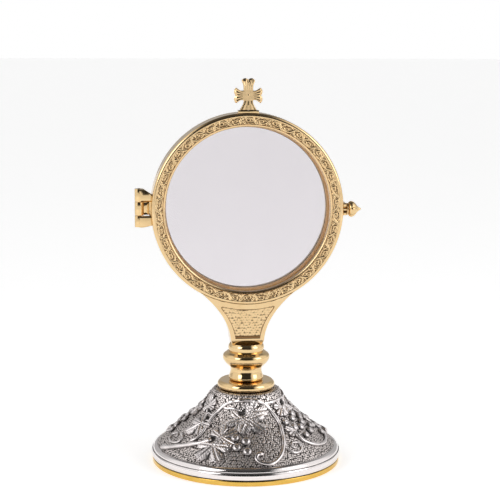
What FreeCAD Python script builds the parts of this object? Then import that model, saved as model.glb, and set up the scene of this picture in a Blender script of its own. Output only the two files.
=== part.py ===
import FreeCAD, Part
import math
import os

# A chapel monstrance: a round glazed case for a large host, carried by a cast neck on a
# turned stem and a bell-shaped foot.  Millimetres, +Z up, origin on the table under the
# middle of the foot.  The window faces -Y; its fixed front ring is one casting with the
# neck and carries the cross.  The rear ring is a glazed door, hinged on -X and clamped by
# a bud-shaped knob on +X.

V = FreeCAD.Vector

# ---- driving dimensions ----------------------------------------------------------------
BASE_R = 82.0             # gold ring under the foot
BASE_RING_H = 4.5
BASE_RING_WIDTH = 14.0    # from the ring's bore to its outside
SPIGOT_INSET = 7.0        # step on the ring that centres the foot's rim
SPIGOT_RISE = 2.5
FOOT_TOP_Z = 64.5         # flat top of the silver foot
FOOT_RIM_WIDTH = 6.0
FOOT_RIM_RISE = 6.4       # plain band of the rim, below its groove
FOOT_SEAT_T = 4.0         # plate at the top of the foot that the rod clamps
SPOOL_Z = 71.7            # stem pieces, each from its own height to the next one's
KNOP_Z = 84.2
COLLAR_Z = 97.2
NECK_Z = 104.5

WINDOW_Z = 222.4          # centre of the round case
FRONT_LIP_R = 71.0        # clear radius of the front window
REAR_LIP_R = 69.5
CASE_R = 82.7             # outside of both rings
CASE_HALF_DEPTH = 12.0
DOOR_GAP = 0.2            # between the two rings when the door is shut
DOOR_SIDE_DRAFT = 0.4     # the door narrows towards the frame so that it swings clear
CRADLE_GAP = 0.6          # between the door and the neck that wraps under it
SHOULDER_R = 2.6          # rounded outer edge of each ring

PANE_T = 2.5
PANE_SEAT_Y = 6.5         # outer face of each pane, from the middle of the case
PANE_CLEARANCE = 0.1
RETAINER_T = 1.8
BEAD_R = 1.8              # round bead at each lip
BAND_DEPTH = 0.5          # sunk band for the engraving
BAND_OUTER_R = 79.0

NECK_HALF_DEPTH = 11.6
NECK_HALF_WIDTH = 14.4    # at the foot of the neck, before it flares
NECK_FLARE_Z = 106.0
NECK_FLARE = 0.0131       # half width grows as NECK_FLARE * rise ** 2
NECK_BEVEL_TOP_Z = 108.7  # below this the neck is drawn in to sit on the collar
NECK_BEVEL_SIDE = 0.8
NECK_BEVEL_FACE = 2.9
NECK_TOP_Z = 150.5        # the flared tips die into the round case here
NECK_REAR_TOP_Z = 146.5   # behind, where they clear the door, the tips stop lower
NECK_BORDER = 4.0         # raised border beside the hammered panels
RING_LINE_R = 81.3        # incised line that carries the ring's edge across the neck
RING_LINE_WIDTH = 0.5
PANEL_TOP_R = 86.6        # the panels end on this circle round the window centre
PANEL_BOTTOM_Z = 112.3
PANEL_DEPTH = 0.6
GROOVE_BOTTOM_Z = 110.2   # groove under each panel
GROOVE_DEPTH = 0.9

ROD_R = 3.0               # threaded rod that pulls the stem together
ROD_BOTTOM_Z = 50.0
ROD_TOP_Z = 119.0
ROD_CLEARANCE = 0.1
WASHER_R = 9.0
WASHER_T = 1.6
NUT_ACROSS_FLATS = 10.0
NUT_H = 5.0

HINGE_X = -92.5           # vertical hinge axis, in the plane where the two rings part
HINGE_R = 3.9
HINGE_PIN_R = 1.5
HINGE_PIN_CLEARANCE = 0.05
HINGE_LEAF_DEPTH = 6.6
HINGE_PLATE_REACH = 1.4   # plate that ties the frame's two straps together on the ring
STRAP_CHAMFER = 1.3       # along the front edges of the frame's straps
STRAP_TAPER = {"bottom": 1.6, "top": 4.0}   # height that each strap loses towards the ring
STRAP_SINK = 1.0          # straps and lugs are let into the rings by this much
KNUCKLES = {"bottom": (207.4, 217.0), "middle": (217.6, 228.8), "top": (229.3, 240.1)}

STUD_Y = -3.8             # closing stud, screwed into the side of the fixed ring
STUD_Z = 221.4
STUD_R = 2.0
STUD_CHAMFER = 0.5
STUD_ROOT_X = 77.0
STUD_TIP_X = 93.5
LUG_IN_X = 83.2
LUG_OUT_X = 86.0
LUG_HALF_HEIGHT = 5.25
LUG_FRONT_Y = -6.4
LUG_REAR_Y = 8.6
SLOT_HALF = 2.25
CLAMP_GAP = 0.2
CLAMP_T = 1.2
KNOB_GAP = 0.1
KNOB_BORE_DEPTH = 7.0
KNOB_BORE_CLEARANCE = 0.06
FIXED_PIN_CLEARANCE = 0.02

CROSS_Y = -6.0            # the cross stands on the fixed front ring
CROSS_T = 4.0
CROSS_CENTRE_Z = 319.5
CROSS_FOOT_Z = 307.0
CROSS_PAD_HALF_WIDTH = 8.8
CROSS_PAD_HALF_DEPTH = 4.0
CROSS_PAD_SINK = 1.6      # below the top of the case, so that it beds on the round
CROSS_PIN_R = 1.2
CROSS_PIN_BOTTOM_Z = 299.5
CROSS_PIN_TOP_Z = 312.0

END_CLEARANCE = 0.3       # past the end of a rod, stud or pin in a blind hole
CUT = 1.0                 # cutters run this far past the faces that they open


# ---- helpers ---------------------------------------------------------------------------
class Outline:
    """A closed outline drawn edge by edge in the XZ plane."""

    def __init__(self, x, z):
        self.start = self.here = V(x, 0, z)
        self.edges = []

    def line(self, x, z):
        to = V(x, 0, z)
        self.edges.append(Part.makeLine(self.here, to))
        self.here = to
        return self

    def arc(self, via, to):
        via, to = V(via[0], 0, via[1]), V(to[0], 0, to[1])
        self.edges.append(Part.Arc(self.here, via, to).toShape())
        self.here = to
        return self

    def curve(self, *points):
        points = [self.here] + [V(x, 0, z) for x, z in points]
        spline = Part.BSplineCurve()
        spline.interpolate(points)
        self.edges.append(spline.toShape())
        self.here = points[-1]
        return self

    def face(self):
        if self.here.distanceToPoint(self.start) > 1e-6:
            self.line(self.start.x, self.start.z)
        return Part.Face(Part.Wire(self.edges))


def turned(outline):
    """Turn an outline of (radius, height) about Z."""
    return outline.face().revolve(V(0, 0, 0), V(0, 0, 1), 360)


def on_stud(shape, x=0.0):
    """Lay a turned shape on the closing stud's axis, its height pointing outwards."""
    shape.rotate(V(0, 0, 0), V(0, 1, 0), 90)
    shape.translate(V(x, STUD_Y, STUD_Z))
    return shape


def rod(radius, bottom, top, x=0.0, y=0.0):
    return Part.makeCylinder(radius, top - bottom, V(x, y, bottom))


def ring(inner, outer, bottom, top):
    return turned(Outline(inner, bottom).line(outer, bottom).line(outer, top).line(inner, top))


def window_disc(radius, front_y, rear_y):
    """A disc on the window's axis, as solid stock or as a cutter."""
    return Part.makeCylinder(radius, rear_y - front_y, V(0, front_y, WINDOW_Z), V(0, 1, 0))


def block(low, high):
    size = V(*high) - V(*low)
    return Part.makeBox(size.x, size.y, size.z, V(*low))


def quarter_mid(centre, radius, x_sign, z_sign):
    """Middle point of a quarter arc round centre, in the quadrant of the signs."""
    reach = radius * math.sqrt(0.5)
    return (centre[0] + x_sign * reach, centre[1] + z_sign * reach)


# ---- foot ------------------------------------------------------------------------------
def base_ring():
    """Gold ring under the foot, with a spigot that centres the foot's rim."""
    inner, spigot, edge = BASE_R - BASE_RING_WIDTH, BASE_R - SPIGOT_INSET, 0.8
    outline = Outline(inner, 0).line(BASE_R - edge, 0)
    outline.arc(quarter_mid((BASE_R - edge, edge), edge, 1, -1), (BASE_R, edge))
    outline.line(BASE_R, BASE_RING_H - edge)
    outline.arc(
        quarter_mid((BASE_R - edge, BASE_RING_H - edge), edge, 1, 1),
        (BASE_R - edge, BASE_RING_H),
    )
    outline.line(spigot, BASE_RING_H).line(spigot, BASE_RING_H + SPIGOT_RISE)
    outline.line(inner, BASE_RING_H + SPIGOT_RISE)
    return turned(outline)


def foot():
    """Hollow bell-shaped casting: a rolled rim, a concave bell and a round shoulder."""
    rim_z = BASE_RING_H + FOOT_RIM_RISE
    bore = ROD_R + ROD_CLEARANCE
    outline = Outline(BASE_R - FOOT_RIM_WIDTH, BASE_RING_H).line(BASE_R - 0.5, BASE_RING_H)
    outline.arc((BASE_R + 0.8, BASE_RING_H + 3.2), (BASE_R + 0.1, rim_z))
    outline.line(BASE_R - 0.6, rim_z + 0.3)
    outline.arc((BASE_R - 1.3, rim_z + 2.6), (BASE_R - 3.6, rim_z + 4.1))
    outline.curve((70.2, 22.0), (57.0, 32.6), (43.8, 43.2), (35.3, 52.3), (31.2, 60.0))
    outline.curve((29.6, 62.9), (27.6, FOOT_TOP_Z))
    outline.line(bore, FOOT_TOP_Z).line(bore, FOOT_TOP_Z - FOOT_SEAT_T)
    outline.line(25.6, FOOT_TOP_Z - FOOT_SEAT_T)
    outline.curve((28.4, 57.0), (33.4, 49.8), (42.0, 40.6), (53.8, 31.4), (66.0, 21.8), (74.4, 12.0))
    return turned(outline)


# ---- stem ------------------------------------------------------------------------------
def stem_piece(outline, bottom, top):
    """Close a stem outline onto the rod's bore and turn it."""
    bore = ROD_R + ROD_CLEARANCE
    return turned(outline.line(bore, top).line(bore, bottom))


def flange():
    """Broad flat disc on top of the foot with a thick rolled edge."""
    outline = Outline(22.9, FOOT_TOP_Z)
    outline.arc((25.1, FOOT_TOP_Z + 3.4), (23.2, SPOOL_Z - 0.4))
    outline.line(22.4, SPOOL_Z)
    return stem_piece(outline, FOOT_TOP_Z, SPOOL_Z)


def spool():
    """Concave drum: a soft bulge drawn in at its foot, then a waist below the knop."""
    outline = Outline(13.0, SPOOL_Z)
    outline.curve(
        (14.5, SPOOL_Z + 0.9), (15.1, SPOOL_Z + 2.5), (14.7, SPOOL_Z + 4.4), (13.9, SPOOL_Z + 7.0),
        (13.6, SPOOL_Z + 9.9), (14.4, KNOP_Z),
    )
    return stem_piece(outline, SPOOL_Z, KNOP_Z)


def knop():
    """Flattened ball with rounded shoulders."""
    outline = Outline(15.2, KNOP_Z)
    outline.curve(
        (18.8, KNOP_Z + 3.8), (20.4, KNOP_Z + 7.0), (20.0, KNOP_Z + 10.2), (16.6, COLLAR_Z)
    )
    return stem_piece(outline, KNOP_Z, COLLAR_Z)


def collar():
    """Soft bead between the knop and the neck."""
    outline = Outline(14.9, COLLAR_Z)
    outline.curve(
        (15.3, COLLAR_Z + 1.5), (15.7, COLLAR_Z + 3.6), (15.3, COLLAR_Z + 5.5), (14.2, NECK_Z)
    )
    return stem_piece(outline, COLLAR_Z, NECK_Z)


def tie_rod():
    return rod(ROD_R, ROD_BOTTOM_Z, ROD_TOP_Z)


def rod_washer():
    top = FOOT_TOP_Z - FOOT_SEAT_T
    return ring(ROD_R + ROD_CLEARANCE, WASHER_R, top - WASHER_T, top)


def rod_nut():
    top = FOOT_TOP_Z - FOOT_SEAT_T - WASHER_T
    corner = NUT_ACROSS_FLATS / math.sqrt(3)
    corners = [
        V(corner * math.cos(math.radians(a)), corner * math.sin(math.radians(a)), top - NUT_H)
        for a in range(0, 361, 60)
    ]
    stock = Part.Face(Part.makePolygon(corners)).extrude(V(0, 0, NUT_H))
    return stock.cut(rod(ROD_R + FIXED_PIN_CLEARANCE, top - NUT_H, top))


# ---- case: rings and panes -------------------------------------------------------------
def case_ring(lip_r, seat_r, side_r, inner_y):
    """A glazed ring as (radius, depth from the case's middle), outer face outwards.

    From the lip the face runs over a round bead, a sunk band for engraving and a round
    shoulder; side_r is the outside where the ring meets its partner at depth inner_y.
    """
    face = CASE_HALF_DEPTH
    bead = (lip_r + BEAD_R, face - BEAD_R)
    bead_edge = math.sqrt(BEAD_R**2 - (BEAD_R - BAND_DEPTH) ** 2)
    shoulder = (CASE_R - SHOULDER_R, face - SHOULDER_R)
    outline = Outline(lip_r, PANE_SEAT_Y).line(lip_r, bead[1])
    outline.arc((bead[0], face), (bead[0] + bead_edge, face - BAND_DEPTH))
    outline.line(BAND_OUTER_R - 0.2, face - BAND_DEPTH).line(BAND_OUTER_R, face)
    outline.line(shoulder[0], face)
    outline.arc(quarter_mid(shoulder, SHOULDER_R, 1, 1), (CASE_R, shoulder[1]))
    outline.line(side_r, inner_y).line(seat_r, inner_y).line(seat_r, PANE_SEAT_Y)
    return turned(outline)


def pane_seat_r(lip_r):
    return lip_r + PANE_T + PANE_CLEARANCE


def pane(lip_r):
    return rod(lip_r + PANE_T, PANE_SEAT_Y - PANE_T, PANE_SEAT_Y)


def retaining_ring(lip_r):
    outer = PANE_SEAT_Y - PANE_T
    return ring(lip_r + 0.3, lip_r + PANE_T, outer - RETAINER_T, outer)


def in_front(shape):
    """Lay a turned case piece in the fixed front half, its height towards -Y."""
    shape.rotate(V(0, 0, 0), V(1, 0, 0), 90)
    shape.translate(V(0, 0, WINDOW_Z))
    return shape


def behind(shape):
    """Lay a turned case piece in the rear half, its height towards +Y."""
    shape.rotate(V(0, 0, 0), V(1, 0, 0), -90)
    shape.translate(V(0, 0, WINDOW_Z))
    return shape


# ---- case: neck, cast with the front ring ----------------------------------------------
def neck_half_width(z):
    rise = max(0.0, z - NECK_FLARE_Z)
    return NECK_HALF_WIDTH + NECK_FLARE * rise**2


def neck_prism(bottom, inset, front_y, rear_y):
    """The neck's flared outline, drawn in by inset and taken through a depth."""
    steps = 7
    heights = [bottom + (NECK_TOP_Z - bottom) * i / steps for i in range(steps + 1)]
    side = [(neck_half_width(z) - inset, z) for z in heights]
    outline = Outline(*side[0]).curve(*side[1:])
    outline.line(-side[-1][0], NECK_TOP_Z)
    outline.curve(*[(-x, z) for x, z in reversed(side[:-1])])
    prism = outline.face().extrude(V(0, rear_y - front_y, 0))
    prism.translate(V(0, front_y, 0))
    return prism


def neck_foot():
    """Foot of the neck, its four sides drawn in towards the collar."""
    half_width = neck_half_width(NECK_BEVEL_TOP_Z)
    sections = []
    for z, half_x, half_y in (
        (NECK_Z, half_width - NECK_BEVEL_SIDE, NECK_HALF_DEPTH - NECK_BEVEL_FACE),
        (NECK_BEVEL_TOP_Z, half_width, NECK_HALF_DEPTH),
    ):
        corners = [V(sx * half_x, sy * half_y, z) for sx, sy in ((-1, -1), (1, -1), (1, 1), (-1, 1))]
        sections.append(Part.makePolygon(corners + corners[:1]))
    return Part.makeLoft(sections, True, True)


def neck_grooves():
    """Cutter for the grooves that run along the foot of both panels."""
    half = neck_half_width(PANEL_BOTTOM_Z) - NECK_BORDER
    reach, floor = NECK_HALF_DEPTH + CUT, NECK_HALF_DEPTH - GROOVE_DEPTH
    through = block((-half, -reach, GROOVE_BOTTOM_Z), (half, reach, PANEL_BOTTOM_Z))
    return through.cut(block((-half, -floor, GROOVE_BOTTOM_Z), (half, floor, PANEL_BOTTOM_Z)))


def neck_panel(front_y, rear_y):
    """Cutter for one hammered panel: inside the border and below the ring's border."""
    stock = neck_prism(PANEL_BOTTOM_Z, NECK_BORDER, front_y, rear_y)
    return stock.cut(window_disc(PANEL_TOP_R, front_y - CUT, rear_y + CUT))


def ring_line():
    """Cutter for the incised line across the front of the neck."""
    front, rear = -NECK_HALF_DEPTH - CUT, -NECK_HALF_DEPTH + PANEL_DEPTH
    line = window_disc(RING_LINE_R + RING_LINE_WIDTH, front, rear)
    line = line.cut(window_disc(RING_LINE_R, front - CUT, rear + CUT))
    return line.common(neck_prism(PANEL_BOTTOM_Z, 0.0, front - CUT, rear + CUT))


def front_frame():
    """Front ring and neck, cast in one, with the pockets that hold other pieces."""
    depth, far = NECK_HALF_DEPTH, 2 * CASE_HALF_DEPTH
    wide = CASE_R
    neck = neck_prism(NECK_BEVEL_TOP_Z, 0.0, -depth, depth)
    neck = neck.fuse(neck_foot()).cut(neck_grooves())
    neck = neck.cut(window_disc(CASE_R + CRADLE_GAP, 0, far))
    neck = neck.cut(window_disc(CASE_R - SHOULDER_R, -far, 0))
    neck = neck.cut(block((-wide, 0, NECK_REAR_TOP_Z), (wide, far, WINDOW_Z)))
    neck = neck.cut(neck_panel(-depth - PANEL_DEPTH, -depth + PANEL_DEPTH))
    neck = neck.cut(neck_panel(depth - PANEL_DEPTH, depth + PANEL_DEPTH)).cut(ring_line())
    ring_half = in_front(case_ring(FRONT_LIP_R, pane_seat_r(FRONT_LIP_R), CASE_R, 0))
    frame = neck.fuse(ring_half)
    rod_hole = rod(ROD_R + FIXED_PIN_CLEARANCE, NECK_Z - CUT, ROD_TOP_Z + END_CLEARANCE)
    stud_hole = rod(STUD_R + FIXED_PIN_CLEARANCE, STUD_ROOT_X - END_CLEARANCE, STUD_TIP_X)
    frame = frame.cut(rod_hole).cut(on_stud(stud_hole)).cut(cross_pin_hole())
    return frame.removeSplitter()


def front_glass():
    return in_front(pane(FRONT_LIP_R))


def front_retaining_ring():
    return in_front(retaining_ring(FRONT_LIP_R))


# ---- case: rear door -------------------------------------------------------------------
def door_ring():
    """Hinged rear ring, its side drafted towards the front ring."""
    seat_r = pane_seat_r(REAR_LIP_R)
    return behind(case_ring(REAR_LIP_R, seat_r, CASE_R - DOOR_SIDE_DRAFT, DOOR_GAP))


def door_glass():
    return behind(pane(REAR_LIP_R))


def door_retaining_ring():
    return behind(retaining_ring(REAR_LIP_R))


# ---- hinge -----------------------------------------------------------------------------
def strap(reach_x, front_y, rear_y, low, high):
    """Flat bar from reach_x in to the rings, its end hollowed to bed on their round sides."""
    bar = block((reach_x, front_y, low), (-BAND_OUTER_R, rear_y, high))
    return bar.cut(window_disc(CASE_R - STRAP_SINK, front_y - CUT, rear_y + CUT))


def knuckle(name, front_y, rear_y):
    """One barrel of the hinge with the strap that joins it to its ring."""
    low, high = KNUCKLES[name]
    bar = strap(HINGE_X, front_y, rear_y, low, high)
    return bar.fuse(rod(HINGE_R, low, high, x=HINGE_X))


def pin_bore():
    radius = HINGE_PIN_R + HINGE_PIN_CLEARANCE
    return rod(radius, KNUCKLES["bottom"][0] - CUT, KNUCKLES["top"][1] + CUT, x=HINGE_X)


def tapered_strap(name, front_y, rear_y):
    """Strap of a frame barrel, chamfered in front; its outer end face slopes in at the ring."""
    low, high = KNUCKLES[name]
    section = [
        (rear_y, low), (rear_y, high),
        (front_y + STRAP_CHAMFER, high), (front_y, high - STRAP_CHAMFER),
        (front_y, low + STRAP_CHAMFER), (front_y + STRAP_CHAMFER, low),
    ]
    corners = [V(HINGE_X, y, z) for y, z in section]
    bar = Part.Face(Part.makePolygon(corners + corners[:1]))
    bar = bar.extrude(V(-BAND_OUTER_R - HINGE_X, 0, 0))
    end_z, drop = (high, -STRAP_TAPER[name]) if name == "top" else (low, STRAP_TAPER[name])
    start_x = HINGE_X + HINGE_R
    run = -CASE_R - start_x
    beyond = end_z + math.copysign(CUT, -drop)
    slope = [
        (start_x, end_z), (start_x + 2 * run, end_z + 2 * drop),
        (start_x + 2 * run, beyond), (start_x, beyond),
    ]
    corners = [V(x, front_y - CUT, z) for x, z in slope]
    wedge = Part.Face(Part.makePolygon(corners + corners[:1]))
    wedge = wedge.extrude(V(0, rear_y - front_y + 2 * CUT, 0))
    return bar.cut(wedge).cut(window_disc(CASE_R - STRAP_SINK, front_y - CUT, rear_y + CUT))


def frame_hinge_leaf(frame):
    """Frame's half of the hinge: two barrels on straps, tied by a thin plate on the ring."""
    front, rear = -HINGE_LEAF_DEPTH, -DOOR_GAP
    low, high = KNUCKLES["bottom"][1] - CUT, KNUCKLES["top"][0] + CUT
    leaf = strap(-CASE_R - HINGE_PLATE_REACH, front + STRAP_CHAMFER, rear, low, high)
    for name in ("bottom", "top"):
        barrel = rod(HINGE_R, *KNUCKLES[name], x=HINGE_X)
        leaf = leaf.fuse(tapered_strap(name, front, rear)).fuse(barrel)
    return leaf.cut(frame).cut(pin_bore()).removeSplitter()


def door_hinge_leaf(door):
    """Door's half of the hinge: the single middle barrel on a short strap."""
    leaf = knuckle("middle", 2 * DOOR_GAP, HINGE_LEAF_DEPTH)
    return leaf.cut(door).cut(pin_bore()).removeSplitter()


def hinge_pin():
    """Plain pin with slightly domed ends."""
    low, high, dome = KNUCKLES["bottom"][0], KNUCKLES["top"][1], 0.5
    outline = Outline(0, low - dome)
    outline.curve((HINGE_PIN_R * 0.7, low - dome * 0.6), (HINGE_PIN_R, low))
    outline.line(HINGE_PIN_R, high)
    outline.curve((HINGE_PIN_R * 0.7, high + dome * 0.6), (0, high + dome))
    pin = turned(outline)
    pin.translate(V(HINGE_X, 0, 0))
    return pin


# ---- closure ---------------------------------------------------------------------------
def closure_stud():
    outline = Outline(0, STUD_ROOT_X).line(STUD_R, STUD_ROOT_X)
    outline.line(STUD_R, STUD_TIP_X - STUD_CHAMFER)
    outline.line(STUD_R - STUD_CHAMFER, STUD_TIP_X).line(0, STUD_TIP_X)
    return on_stud(turned(outline))


def closure_lug(door):
    """Door's fork: a boss on the ring's side and a slotted plate that straddles the stud."""
    low, high = STUD_Z - LUG_HALF_HEIGHT, STUD_Z + LUG_HALF_HEIGHT
    boss = block((BAND_OUTER_R, 2 * DOOR_GAP, low), (LUG_OUT_X, LUG_REAR_Y, high))
    plate = block((LUG_IN_X, LUG_FRONT_Y, low), (LUG_OUT_X, LUG_REAR_Y, high))
    slot = block(
        (LUG_IN_X - CUT, LUG_FRONT_Y - CUT, STUD_Z - SLOT_HALF),
        (LUG_OUT_X + CUT, STUD_Y, STUD_Z + SLOT_HALF),
    )
    slot_end = on_stud(rod(SLOT_HALF, LUG_IN_X - CUT, LUG_OUT_X + CUT))
    lug = boss.cut(door).fuse(plate).cut(slot).cut(slot_end)
    return lug.removeSplitter()


def closure_washer():
    washer = ring(STUD_R + 0.1, LUG_HALF_HEIGHT, 0, CLAMP_T)
    return on_stud(washer, LUG_OUT_X + CLAMP_GAP)


def closure_knob():
    """Bud-shaped nut: a full bulb and an ogee drawn out to a point."""
    bore = STUD_R + KNOB_BORE_CLEARANCE
    outline = Outline(bore, 0).line(4.6, 0)
    outline.curve((6.2, 0.9), (7.0, 2.9), (5.8, 5.6), (2.9, 8.1), (1.3, 9.9), (0.0, 11.7))
    outline.line(0, KNOB_BORE_DEPTH).line(bore, KNOB_BORE_DEPTH)
    return on_stud(turned(outline), LUG_OUT_X + CLAMP_GAP + CLAMP_T + KNOB_GAP)


# ---- cross -----------------------------------------------------------------------------
def cross():
    """Flared cross with two-lobed arm ends, standing on its broad lower arm."""
    inner = 3.9
    side = {"waist": (7.0, 3.7), "corner": (10.4, 6.0), "lobe": (12.0, 3.4), "notch": (10.9, 0)}
    upper = {"waist": (8.4, 4.2), "corner": (12.2, 6.4), "lobe": (14.5, 3.6), "notch": (13.2, 0)}

    def turn(point, quarter):
        u, w = point
        x, z = ((u, w), (-w, u), (-u, -w), (w, -u))[quarter]
        return (x, z + CROSS_CENTRE_Z)

    def mirrored(point):
        return (point[0], -point[1])

    outline = Outline(*turn((inner, -inner), 0))
    for quarter, arm in ((0, side), (1, upper), (2, side)):
        waist, corner, lobe, notch = (arm[k] for k in ("waist", "corner", "lobe", "notch"))
        outline.arc(turn(mirrored(waist), quarter), turn(mirrored(corner), quarter))
        outline.arc(turn(mirrored(lobe), quarter), turn(notch, quarter))
        outline.arc(turn(lobe, quarter), turn(corner, quarter))
        outline.arc(turn(waist, quarter), turn((inner, inner), quarter))
    foot_reach = CROSS_CENTRE_Z - CROSS_FOOT_Z
    outline.arc(turn((7.4, -4.3), 3), turn((foot_reach, -7.5), 3))
    outline.line(7.5, CROSS_FOOT_Z)
    outline.arc(turn((7.4, 4.3), 3), turn((inner, inner), 3))
    solid = outline.face().extrude(V(0, CROSS_T, 0))
    solid.translate(V(0, CROSS_Y - CROSS_T / 2, 0))
    return solid.cut(cross_pin_hole()).removeSplitter()


def cross_pin_hole():
    low, high = CROSS_PIN_BOTTOM_Z - END_CLEARANCE, CROSS_PIN_TOP_Z + END_CLEARANCE
    return rod(CROSS_PIN_R + FIXED_PIN_CLEARANCE, low, high, y=CROSS_Y)


def cross_pad(frame):
    """Small saddle between the cross and the top of the case."""
    half = CROSS_PAD_HALF_WIDTH
    pad = block(
        (-half, CROSS_Y - CROSS_PAD_HALF_DEPTH, WINDOW_Z + CASE_R - CROSS_PAD_SINK),
        (half, CROSS_Y + CROSS_PAD_HALF_DEPTH, CROSS_FOOT_Z),
    )
    return pad.cut(frame).cut(cross_pin_hole())


def cross_pin():
    return rod(CROSS_PIN_R, CROSS_PIN_BOTTOM_Z, CROSS_PIN_TOP_Z, y=CROSS_Y)


# ---- pieces ----------------------------------------------------------------------------
def build():
    frame = front_frame()
    door = door_ring()
    return {
        "base_ring": base_ring(),
        "foot": foot(),
        "flange": flange(),
        "spool": spool(),
        "knop": knop(),
        "collar": collar(),
        "tie_rod": tie_rod(),
        "rod_washer": rod_washer(),
        "rod_nut": rod_nut(),
        "front_frame": frame,
        "front_glass": front_glass(),
        "front_retaining_ring": front_retaining_ring(),
        "frame_hinge_leaf": frame_hinge_leaf(frame),
        "hinge_pin": hinge_pin(),
        "closure_stud": closure_stud(),
        "cross_pad": cross_pad(frame),
        "cross": cross(),
        "cross_pin": cross_pin(),
        "door_ring": door,
        "door_glass": door_glass(),
        "door_retaining_ring": door_retaining_ring(),
        "door_hinge_leaf": door_hinge_leaf(door),
        "closure_lug": closure_lug(door),
        "closure_washer": closure_washer(),
        "closure_knob": closure_knob(),
    }


os.makedirs("parts", exist_ok=True)
for name, shape in build().items():
    solids = shape.Solids
    kept = solids[0] if len(solids) == 1 else Part.makeCompound(solids)
    kept.exportStep(f"parts/{name}.step")
    box = kept.BoundBox
    print(
        f"{name:22s} solids {len(solids)} valid {kept.isValid()} volume {kept.Volume:9.0f}"
        f"  x {box.XMin:7.2f} {box.XMax:7.2f}  y {box.YMin:7.2f} {box.YMax:7.2f}"
        f"  z {box.ZMin:7.2f} {box.ZMax:7.2f}"
    )
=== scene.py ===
import math

import bmesh
import bpy
import numpy as np
from mathutils import Matrix, Vector
from mathutils.kdtree import KDTree


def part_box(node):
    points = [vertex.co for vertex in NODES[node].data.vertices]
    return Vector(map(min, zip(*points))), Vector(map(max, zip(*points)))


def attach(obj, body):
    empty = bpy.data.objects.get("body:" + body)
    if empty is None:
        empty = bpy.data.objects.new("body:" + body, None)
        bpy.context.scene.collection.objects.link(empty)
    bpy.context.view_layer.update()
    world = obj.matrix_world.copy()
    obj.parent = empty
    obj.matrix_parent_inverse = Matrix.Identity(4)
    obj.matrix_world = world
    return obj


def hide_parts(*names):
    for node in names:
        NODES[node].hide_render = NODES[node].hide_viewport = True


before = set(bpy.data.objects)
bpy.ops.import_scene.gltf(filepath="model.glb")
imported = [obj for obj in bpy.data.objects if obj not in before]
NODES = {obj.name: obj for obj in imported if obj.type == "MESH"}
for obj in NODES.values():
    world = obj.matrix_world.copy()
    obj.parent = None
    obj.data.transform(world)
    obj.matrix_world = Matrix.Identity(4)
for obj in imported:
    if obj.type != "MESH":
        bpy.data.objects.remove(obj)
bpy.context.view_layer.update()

MM = 0.001                # lengths below are in millimetres unless a name says metres
RNG = np.random.default_rng(7)


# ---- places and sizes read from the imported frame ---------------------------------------
def node_box(name):
    """Lowest and highest corners of a CAD node, in millimetres."""
    low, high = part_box(name)
    return np.array(low) / MM, np.array(high) / MM


def node_top(name):
    return node_box(name)[1][2]


def node_bottom(name):
    return node_box(name)[0][2]


DOOR_LOW, DOOR_HIGH = node_box("door_ring")
WINDOW_Z = (DOOR_LOW[2] + DOOR_HIGH[2]) / 2
CASE_R = (DOOR_HIGH[2] - DOOR_LOW[2]) / 2
CASE_HALF_DEPTH = DOOR_HIGH[1]
DOOR_GAP = DOOR_LOW[1]
FRONT_LOW, FRONT_HIGH = node_box("front_frame")
NECK_HALF_DEPTH = FRONT_HIGH[1]
NECK_Z = FRONT_LOW[2]
BASE_R = node_box("base_ring")[1][0]
FOOT_BOTTOM_Z = node_bottom("foot")
FOOT_TOP_Z = node_top("foot")
FRONT_PANE_R = node_box("front_glass")[1][0]
REAR_PANE_R = node_box("door_glass")[1][0]
PANE_SEAT_Y = node_box("door_glass")[1][1]
PANE_T = PANE_SEAT_Y - node_box("door_glass")[0][1]
FRONT_LIP_R = FRONT_PANE_R - PANE_T
REAR_LIP_R = REAR_PANE_R - PANE_T


# ---- mesh helpers ----------------------------------------------------------------------
def arc(start, via, end, count):
    """Points on the circle through three points, from start to end."""
    (ax, ay), (bx, by), (cx, cy) = start, via, end
    d = 2 * (ax * (by - cy) + bx * (cy - ay) + cx * (ay - by))
    sa, sb, sc = ax * ax + ay * ay, bx * bx + by * by, cx * cx + cy * cy
    ux = (sa * (by - cy) + sb * (cy - ay) + sc * (ay - by)) / d
    uy = (sa * (cx - bx) + sb * (ax - cx) + sc * (bx - ax)) / d
    radius = math.hypot(ax - ux, ay - uy)
    first = math.atan2(ay - uy, ax - ux)
    middle = (math.atan2(by - uy, bx - ux) - first) % (2 * math.pi)
    last = (math.atan2(cy - uy, cx - ux) - first) % (2 * math.pi)
    if middle > last:
        last -= 2 * math.pi
    turns = np.linspace(first, first + last, count)
    return [(ux + radius * math.cos(t), uy + radius * math.sin(t)) for t in turns]


def smooth(points, count):
    """Centripetal Catmull-Rom curve through points, count samples a span."""
    p = np.array(points, float)
    p = np.vstack([2 * p[0] - p[1], p, 2 * p[-1] - p[-2]])
    out = []
    for i in range(1, len(p) - 2):
        p0, p1, p2, p3 = p[i - 1 : i + 3]
        t1 = np.linalg.norm(p1 - p0) ** 0.5
        t2 = t1 + np.linalg.norm(p2 - p1) ** 0.5
        t3 = t2 + np.linalg.norm(p3 - p2) ** 0.5
        for t in np.linspace(t1, t2, count, endpoint=False):
            a1 = (t1 - t) / t1 * p0 + t / t1 * p1
            a2 = (t2 - t) / (t2 - t1) * p1 + (t - t1) / (t2 - t1) * p2
            a3 = (t3 - t) / (t3 - t2) * p2 + (t - t2) / (t3 - t2) * p3
            b1 = (t2 - t) / t2 * a1 + t / t2 * a2
            b2 = (t3 - t) / (t3 - t1) * a2 + (t - t1) / (t3 - t1) * a3
            out.append((t2 - t) / (t2 - t1) * b1 + (t - t1) / (t2 - t1) * b2)
    out.append(p[-2])
    return [tuple(q) for q in out]


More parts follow.
